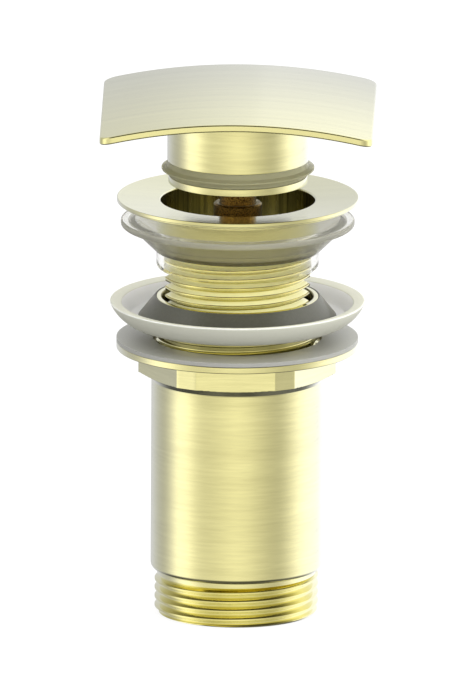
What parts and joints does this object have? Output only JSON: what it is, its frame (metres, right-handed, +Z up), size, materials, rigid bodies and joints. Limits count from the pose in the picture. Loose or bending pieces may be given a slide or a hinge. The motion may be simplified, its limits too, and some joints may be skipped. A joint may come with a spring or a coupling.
{
  "type": "pop up basin waste",
  "caption": "Push-to-close basin waste: arched square cover on a sprung plug, flange, gaskets and washers, screwed into a hexagon-collared tail tube with a threaded end.",
  "frame": {"origin": "on the axis, at the bottom end of the tail thread", "axes": "+Z up along the axis, towards the cover; +X to the right across the arch of the cover; -Y towards the front"},
  "size_m": [0.07, 0.069, 0.1357],
  "materials": {
    "brushed_gold": "brushed, pale gold plated",
    "cast_brass": "as cast and turned",
    "bronze": "grained dark bronze",
    "steel": "plain",
    "acetal": "moulded",
    "white_plastic": "slightly see-through",
    "grey_washer": "matt",
    "grey_rubber": "matt",
    "clear_silicone": "milky, see-through"
  },
  "bodies": {
    "tail": {"tail_body": "brushed_gold", "flat_washer": "grey_washer"},
    "washers": {"cup_washer": "white_plastic", "cone_seal": "grey_rubber"},
    "gasket": {"flange_gasket": "clear_silicone"},
    "waste_body": {"flange_body": "brushed_gold", "crossbar": "cast_brass", "cartridge_barrel": "bronze", "cartridge_nut": "cast_brass", "barrel_cap": "bronze", "follower_pins": "steel", "return_spring": "steel"},
    "cam_carrier": {"spring_seat": "steel"},
    "cam": {"index_cam": "acetal"},
    "plug": {"plunger_rod": "bronze", "rod_o_ring": "grey_rubber", "rod_nut": "cast_brass", "plug_core": "brushed_gold", "plug_seal": "clear_silicone", "cover_collar": "brushed_gold", "cover_plate": "brushed_gold"}
  },
  "joints": [
    {"name": "cup_slide", "type": "slide", "parent": "tail", "child": "washers", "axis": [0, 0, -1], "range_m": [0, 0.0032]},
    {"name": "clamp_travel", "type": "slide", "parent": "tail", "child": "gasket", "axis": [0, 0, 1], "range_m": [-0.0074, 0.01155]},
    {"name": "body_screw", "type": "hinge", "parent": "gasket", "child": "waste_body", "pos_m": [0, 0, 0.0903], "axis": [0, 0, 1], "range_deg": [-1152, 1800]},
    {"name": "press", "type": "slide", "parent": "waste_body", "child": "cam_carrier", "axis": [0, 0, -1], "range_m": [0, 0.0115], "stiffness_N_per_m": 800, "springref_m": -0.01, "deforming": ["return_spring"]},
    {"name": "cam_step", "type": "hinge", "parent": "cam_carrier", "child": "cam", "pos_m": [0, 0, 0.09205], "axis": [0, 0, 1], "range_deg": [-61, 1]},
    {"name": "cover_turn", "type": "hinge", "parent": "cam_carrier", "child": "plug", "pos_m": [0, 0, 0.10745], "axis": [0, 0, 1], "continuous": true}
  ],
  "couplings": [
    {"joint": "clamp_travel", "follows": "body_screw", "m_per_rad": 0.00036749},
    {"joint": "cam_step", "follows": "press", "rad_per_m": -91.061}
  ]
}
